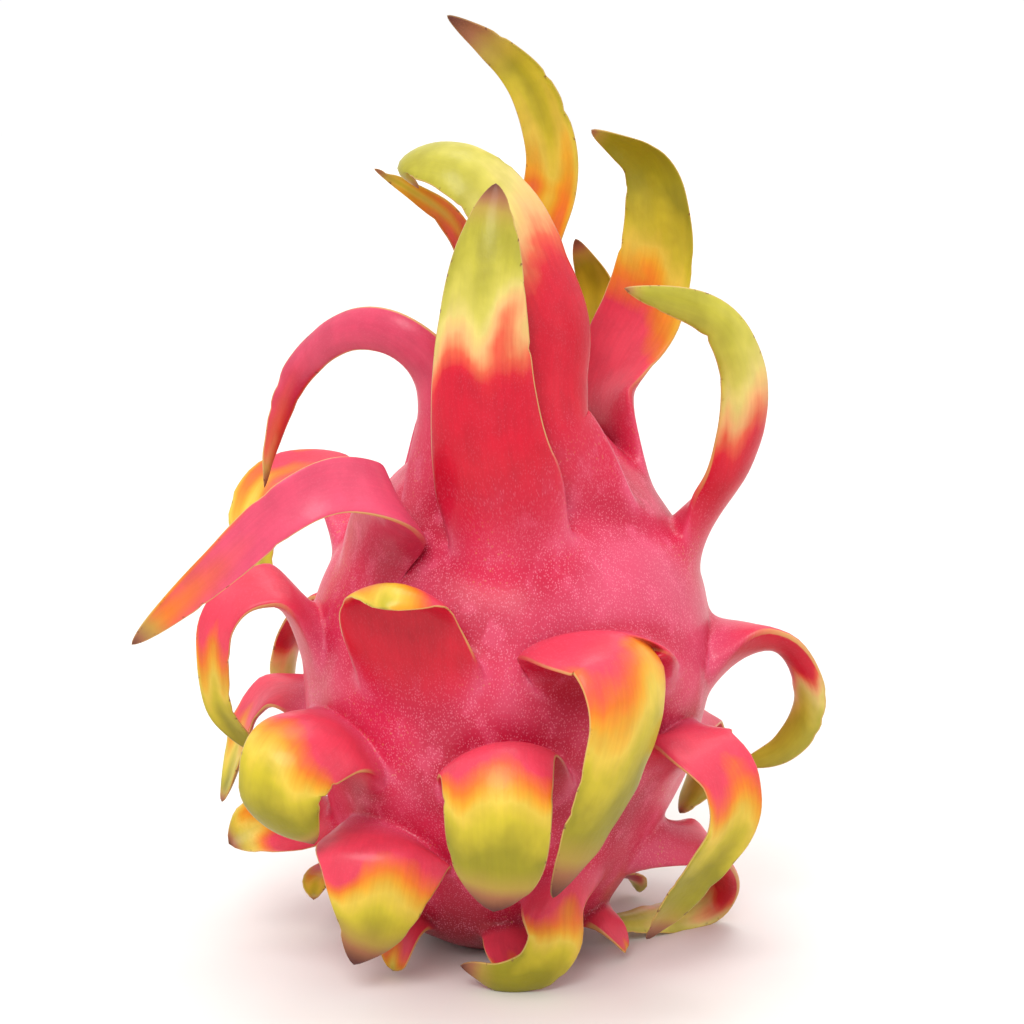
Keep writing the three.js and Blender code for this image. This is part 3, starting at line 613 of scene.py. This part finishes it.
# Pitaya rind, a leathery plant skin, waxy as grown: satin, deep pink broken up by pale flecks, and
# scales that turn through orange and gold to green flesh with dry brown tips and thin pale margins
rind = {
    "body": "#ca2348",  # the rind's own pink, then what lies over it in patches, painted shade and painted highlight
    "bodyDeep": "#b01236",
    # painted shade: deep crimson laid into the skin's hollows, under the scales' roots
    "hollowShade": "#9c0a1c",
    # painted highlight: paler pink along the skin's ridges
    "ridgeHighlight": "#d65474",
    "bodyPale": "#d24a6a",
    "fleck": "#e8869c",
    "greenFleck": "#c79a55",
    "ripening": [  # from unripe to ripe on a scale's outer face
        (0, "#bd0c28"), (0.08, "#c41628"), (0.2, "#d4563a"), (0.33, "#dca468"),
        (0.46, "#d0bd68"), (0.6, "#c0b54c"), (0.8, "#afa636"), (1, "#a0972a"),
    ],
    "innerRipening": [
        (0, "#d43a50"), (0.1, "#d8523a"), (0.22, "#d9701c"), (0.34, "#d99720"),
        (0.48, "#d3b43e"), (0.64, "#bcaa26"), (1, "#8f8612"),
    ],
    "drying": [(0, "#a98a3c"), (0.35, "#96603f"), (0.7, "#603128"), (1, "#3c1e17")],
    "lateScalePinkAndSheen": "#cd4d6e",  # scales that ripen late stay this pink, paler than the body's, partly a painted sheen on their up-facing faces
    # painted shade: dark maroon towards the base, where the fruit sits on the table
    "baseShade": "#7d1420",
    "margin": "#c9a45e",
    "bruise": "#6d3a2a",
    "bodyFleck": (0.42, 0.42, 0.62),  # spacing of the flecks in millimetres, longer along the growth
    "scaleFleck": (0.378, 0.62, 1),
    "speckSpacing": 1.3,
    "poreDepth": 0.2,  # drawn deeper than real pores, so that they show
    "poreStrength": 0.5,
    "roughness": (0.36, 0.5),  # satin, with a thin gloss from the wax over it
    "sockets": {"IOR": 1.45, "Specular IOR Level": 0.3, "Coat Weight": 0.13, "Coat Roughness": 0.2},
    "ripeningPace": 0.6,  # how far through its colours a scale gets where it is green
    "wander": {"mottle": 0.045, "streak": 0.0125},  # how far ripening runs ahead or behind, along a scale
    "tipWander": 0.35,  # how much of that wander the dry tips follow
    "dryEnd": 1.03,  # share of a scale's length where it would be fully dry
    "shading": 0.8,  # strength of the light and dark streaks on the scales
    "washes": [  # over the body's pink: what each follows, its colour, from where to where, share at both
        ("patch", "bodyDeep", (0.35, 0.65, 1.0, 0.0)),
        ("mottle", "bodyPale", (0.5, 0.72, 0.0, 0.6)),
        # painted shade in the skin's hollows
        ("relief", "hollowShade", (-0.1, -0.9, 0.0, 0.8)),
        # painted highlight along the skin's ridges
        ("relief", "ridgeHighlight", (0.15, 1.1, 0.0, 0.65)),
        # painted shade towards the base, darkest where the fruit meets the table
        ("height", "baseShade", (3.0, 24.0, 0.9, 0.0)),
    ],
    "spans": {  # where each effect starts and ends on what it follows, and its strength at both
        "leftMarginAhead": (-1.0, -0.7, 0.3, 0.0),  # across a scale
        "blush": (0.58, 0.78, 0.0, 0.6),
        "latePink": (0.0, 0.2, 0.8, 0.0),
        "lateStart": (0.5, 0.62, 0.0, 1.0),
        "streakShade": (0.3, 0.7, 0.96, 1.04),
        "mottleShade": (0.3, 0.7, 1.06, 0.9),
        "scaleColour": (0.0, 0.24, 0.0, 1.0),  # along a scale
        "fleckRim": (0.2, 0.42, 1.0, 0.0),
        "fleckRipe": (0.0, 0.3, 1.0, 0.15),
        "fleckAlong": (0.0, 0.25, 1.0, 0.12),
        "fleckPatchy": (0.3, 0.65, 0.25, 0.5),
        "speckRim": (0.1, 0.26, 0.35, 0.0),
        "speckPatchy": (0.5, 0.65, 0.0, 1.0),
        "speckAlong": (0.0, 0.2, 1.0, 0.0),
        "dryTip": (-0.6, 0.25, 0.0, 1.0),
        "dryMatt": (-0.3, 0.6, 0.0, 0.25),
        "marginRim": (0.104, 0.26, 1.0, 0.0),  # millimetres from the edge
        "marginAlong": (0.12, 0.3, 0.0, 1.0),
        "marginDry": (-0.2, 0.5, 0.75, 0.3),
        "bruiseRim": (0.6, 0.68, 0.0, 0.8),
        "bruiseNearEdge": (0.15, 0.8, 1.0, 0.0),
        "bruiseAlong": (0.35, 0.7, 0.0, 1.0),
    },
    "cloudy": {  # sizes in millimetres: patches, mottle, streaks along a scale, bruised spots, pores
        "patch": {"size": (22, 22, 22), "detail": 1, "roughness": 0.5, "followsScale": False},
        "mottle": {"size": (5, 5, 7), "detail": 2, "roughness": 0.5, "followsScale": False},
        "streak": {"size": (0.9, 14, 1), "detail": 2, "roughness": 0.6, "followsScale": True},
        "bruise": {"size": (1.5, 1.8, 1), "detail": 2, "roughness": 0.6, "followsScale": True},
        "pores": {"size": (1.6, 1.6, 2.4), "detail": 2, "roughness": 0.6, "followsScale": False},
    },
}


def waxyRind():
    material = bpy.data.materials.new("waxyPitayaRind")
    material.use_nodes = True
    material.node_tree.nodes.clear()
    add = functools.partial(addNode, material.node_tree)
    times, plus, minus, over = ({"operation": word} for word in ("MULTIPLY", "ADD", "SUBTRACT", "DIVIDE"))
    eased = {"interpolation_type": "SMOOTHSTEP"}
    ofColours = {"data_type": "RGBA", "output": 2}
    spans = {name: dict(zip((1, 2, 3, 4), values)) for name, values in rind["spans"].items()}

    along, across, inner, gap, blade, relief = (
        add("Attribute", attribute_name=name, output="Fac")
        for name in ("alongScale", "acrossScale", "innerFace", "marginGap", "bladeShare", "skinRelief")
    )
    grain, tint, wedge = (
        add("Attribute", attribute_name=name, output="Vector")
        for name in ("scaleGrain", "scaleTint", "scaleWedge")
    )
    tint = add("SeparateXYZ", {0: tint}, output=None)
    wedge = add("SeparateXYZ", {0: wedge}, output=None)
    place = add("TexCoord", output="Object")
    millimetres = add("VectorMath", {0: place, "Scale": 1000.0}, operation="SCALE")

    cloudy = {}
    for name, look in rind["cloudy"].items():
        vector = grain if look["followsScale"] else millimetres
        vector = add("Mapping", {"Vector": vector, "Scale": [1 / size for size in look["size"]]})
        links = {"Vector": vector, "Scale": 1.0, "Detail": look["detail"], "Roughness": look["roughness"]}
        cloudy[name] = add("TexNoise", links)

    # where in its ripening each spot is: it starts in a wedge, and the sides and some patches lag
    fromWedge = add("Math", {0: across, 1: wedge[0]}, **minus)
    fromWedge = add("Math", {0: fromWedge}, operation="ABSOLUTE")
    fromWedge = add("Math", {0: fromWedge, 1: wedge[1]}, **over)
    sides = add("MapRange", {"Value": fromWedge}, **eased)
    late = add("Math", {0: sides, 1: wedge[2]}, **times)
    leftMargin = add("MapRange", {"Value": across, **spans["leftMarginAhead"]}, **eased)
    late = add("Math", {0: late, 1: leftMargin}, **minus)
    blush = add("MapRange", {"Value": cloudy["patch"], **spans["blush"]}, **eased)
    late = add("Math", {0: late, 1: blush}, **plus)
    wanders = [
        add("MapRange", {"Value": cloudy[name], 3: -most, 4: most}) for name, most in rind["wander"].items()
    ]
    wander = add("Math", {0: wanders[0], 1: wanders[1]}, **plus)
    reached = add("Math", {0: along, 1: wander}, **plus)
    reached = add("MapRange", {"Value": reached, 1: tint[0], 2: tint[1]}, clamp=False)
    ripe = add("Math", {0: reached, 1: late}, **minus)
    ripe = add("Math", {0: ripe, 1: rind["ripeningPace"]}, use_clamp=True, **times)
    outerColour = add("ValToRGB", {0: ripe}, stops=rind["ripening"])
    innerColour = add("ValToRGB", {0: ripe}, stops=rind["innerRipening"])
    scaleColour = add("Mix", {"Factor": inner, 6: outerColour, 7: innerColour}, **ofColours)
    # scales whose gold starts late stay pink while unripe; that pink is partly their own colour and partly
    # a painted sheen
    unripe = add("MapRange", {"Value": ripe, **spans["latePink"]}, **eased)
    lateStart = add("MapRange", {"Value": tint[0], **spans["lateStart"]}, **eased)
    late = add("Math", {0: unripe, 1: lateStart}, **times)
    scaleColour = add("Mix", {"Factor": late, 6: scaleColour, 7: linear(rind["lateScalePinkAndSheen"])}, **ofColours)
    streakShade = add("MapRange", {"Value": cloudy["streak"], **spans["streakShade"]}, **eased)
    mottleShade = add("MapRange", {"Value": cloudy["mottle"], **spans["mottleShade"]}, **eased)
    shade = add("Math", {0: streakShade, 1: mottleShade}, **times)
    shade = add("CombineColor", {0: shade, 1: shade, 2: shade})
    links = {"Factor": rind["shading"], 6: scaleColour, 7: shade}
    scaleColour = add("Mix", links, blend_type="MULTIPLY", **ofColours)

    # the body's pink: deeper and paler in patches, with painted shade in hollows, painted highlight on
    # ridges, and painted shade towards the base
    height = add("SeparateXYZ", {0: millimetres}, output=2)
    followed = {**cloudy, "relief": relief, "height": height}
    bodyColour = linear(rind["body"])
    for source, name, values in rind["washes"]:
        span = dict(zip((1, 2, 3, 4), values))
        share = add("MapRange", {"Value": followed[source], **span}, **eased)
        bodyColour = add("Mix", {"Factor": share, 6: bodyColour, 7: linear(rind[name])}, **ofColours)
    onScale = add("MapRange", {"Value": along, **spans["scaleColour"]}, **eased)
    colour = add("Mix", {"Factor": onScale, 6: bodyColour, 7: scaleColour}, **ofColours)

    # pale flecks, thick on the body and thinning out along the scales, and a few greenish specks
    onBody = [1 / size for size in rind["bodyFleck"]]
    onScales = [1 / size for size in rind["scaleFleck"]]
    cells = []
    for vector, size in ((millimetres, onBody), (grain, onScales)):
        vector = add("Mapping", {"Vector": vector, "Scale": size})
        cell = add("TexVoronoi", {"Vector": vector, "Scale": 1.0, "Randomness": 0.9})
        cells.append(add("MapRange", {"Value": cell, **spans["fleckRim"]}, **eased))
    fleck = add("Mix", {"Factor": blade, 2: cells[0], 3: cells[1]})
    for source, name in ((ripe, "fleckRipe"), (along, "fleckAlong"), (cloudy["mottle"], "fleckPatchy")):
        thinning = add("MapRange", {"Value": source, **spans[name]}, **eased)
        fleck = add("Math", {0: fleck, 1: thinning}, **times)
    colour = add("Mix", {"Factor": fleck, 6: colour, 7: linear(rind["fleck"])}, **ofColours)
    vector = add("Mapping", {"Vector": millimetres, "Scale": [1 / rind["speckSpacing"]] * 3})
    speck = add("TexVoronoi", {"Vector": vector, "Scale": 1.0})
    speck = add("MapRange", {"Value": speck, **spans["speckRim"]}, **eased)
    for source, name in ((cloudy["patch"], "speckPatchy"), (along, "speckAlong")):
        thinning = add("MapRange", {"Value": source, **spans[name]}, **eased)
        speck = add("Math", {0: speck, 1: thinning}, **times)
    colour = add("Mix", {"Factor": speck, 6: colour, 7: linear(rind["greenFleck"])}, **ofColours)

    # dry tips, thin pale margins and bruised edges
    tipWander = add("Math", {0: wander, 1: rind["tipWander"]}, **times)
    dryness = add("Math", {0: along, 1: tipWander}, **plus)
    dryness = add("MapRange", {"Value": dryness, 1: tint[2], 2: rind["dryEnd"]}, clamp=False)
    dryColour = add("ValToRGB", {0: dryness}, stops=rind["drying"])
    dry = add("MapRange", {"Value": dryness, **spans["dryTip"]}, **eased)
    colour = add("Mix", {"Factor": dry, 6: colour, 7: dryColour}, **ofColours)
    atEdge = {"marginRim": gap, "marginAlong": along, "marginDry": dryness}
    inSpots = {"bruiseRim": cloudy["bruise"], "bruiseNearEdge": gap, "bruiseAlong": along}
    for name, limits in (("margin", atEdge), ("bruise", inSpots)):
        share = 1.0
        for span, source in limits.items():
            limit = add("MapRange", {"Value": source, **spans[span]}, **eased)
            share = add("Math", {0: share, 1: limit}, **times)
        colour = add("Mix", {"Factor": share, 6: colour, 7: linear(rind[name])}, **ofColours)

    depth = rind["poreDepth"] * metre
    links = {"Height": cloudy["pores"], "Strength": rind["poreStrength"], "Distance": depth}
    bump = add("Bump", links)
    smoothest, roughest = rind["roughness"]
    roughness = add("MapRange", {"Value": cloudy["mottle"], 3: smoothest, 4: roughest})
    dryMatt = add("MapRange", {"Value": dryness, **spans["dryMatt"]}, **eased)
    roughness = add("Math", {0: roughness, 1: dryMatt}, **plus)

    links = {"Base Color": colour, "Roughness": roughness, "Normal": bump, **rind["sockets"]}
    add("OutputMaterial", {"Surface": add("BsdfPrincipled", links)}, output=None)
    return material


fruitMesh.materials.append(waxyRind())
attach(pitaya, "root")
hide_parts("dragon_fruit")
print("rind made")

# A white table and plain soft studio light
studio = {
    "floorSize": 6,
    "floorColour": "#e2ddd9",
    "floorRoughness": 0.6,
    "frontSky": 0.62,  # brightness of the room in front, behind, and how much is added overhead
    "backSky": 1.02,
    "topSky": 0.4,
    "frontToBack": (-0.7, 0.25),  # where the room turns from front to back, and from level to overhead
    "levelToTop": (0.1, 0.9),
    "lamps": [  # where each large far lamp stands from the fruit, and its brightness
        {"name": "keyLamp", "from": (-0.2, -0.8, 0.85), "power": 1.75},
        {"name": "fillLamp", "from": (0.85, -0.5, 0.4), "power": 0.15},
        {"name": "topLamp", "from": (0.1, 0.25, 1.0), "power": 0.65},
    ],
    "lampWidth": 28,  # degrees across, seen from the fruit
}

world = bpy.data.worlds.new("whiteStudio")
bpy.context.scene.world = world
world.use_nodes = True
sky = world.node_tree
direction = addNode(sky, "TexCoord", output="Generated")
direction = addNode(sky, "SeparateXYZ", {0: direction}, output=None)
front, back = studio["frontToBack"]
level, top = studio["levelToTop"]
fromBack = {"Value": direction[1], 1: front, 2: back, 3: studio["frontSky"], 4: studio["backSky"]}
fromTop = {"Value": direction[2], 1: level, 2: top, 3: 0.0, 4: studio["topSky"]}
glow = [addNode(sky, "MapRange", links) for links in (fromBack, fromTop)]
glow = addNode(sky, "Math", {0: glow[0], 1: glow[1]}, operation="ADD")
sky.links.new(glow, sky.nodes["Background"].inputs["Strength"])
sky.nodes["Background"].inputs["Color"].default_value = (1, 1, 1, 1)

side = studio["floorSize"] / 2
floorMesh = bpy.data.meshes.new("table")
floorCorners = [(-side, -side, 0), (side, -side, 0), (side, side, 0), (-side, side, 0)]
floorMesh.from_pydata(floorCorners, [], [(0, 1, 2, 3)])
table = bpy.data.objects.new("table", floorMesh)
bpy.context.collection.objects.link(table)
matt = bpy.data.materials.new("mattWhiteLaminate")
matt.use_nodes = True
laminate = matt.node_tree.nodes["Principled BSDF"].inputs
laminate["Base Color"].default_value = linear(studio["floorColour"])
laminate["Roughness"].default_value = studio["floorRoughness"]
floorMesh.materials.append(matt)

for lamp in studio["lamps"]:
    light = bpy.data.lights.new(lamp["name"], "SUN")
    light.angle = math.radians(studio["lampWidth"])
    light.energy = lamp["power"]
    holder = bpy.data.objects.new(lamp["name"], light)
    holder.location = lamp["from"]
    holder.rotation_mode = "QUATERNION"
    holder.rotation_quaternion = Vector(lamp["from"]).to_track_quat("Z", "Y")
    bpy.context.collection.objects.link(holder)

# The camera looks slightly down on the fruit
shot = {"lens": 100, "sensor": 36, "distance": 0.64, "elevation": 11, "target": (0.0044, 0, 0.099)}
tilt = math.radians(shot["elevation"])
looking = Vector((0, math.cos(tilt), -math.sin(tilt)))
cameraData = bpy.data.cameras.new("camera")
cameraData.lens = shot["lens"]
cameraData.sensor_width = shot["sensor"]
camera = bpy.data.objects.new("camera", cameraData)
camera.location = Vector(shot["target"]) - looking * shot["distance"]
camera.rotation_mode = "QUATERNION"
camera.rotation_quaternion = looking.to_track_quat("-Z", "Y")
bpy.context.collection.objects.link(camera)
bpy.context.scene.camera = camera
bpy.context.scene.view_settings.view_transform = "Standard"
print("studio made")
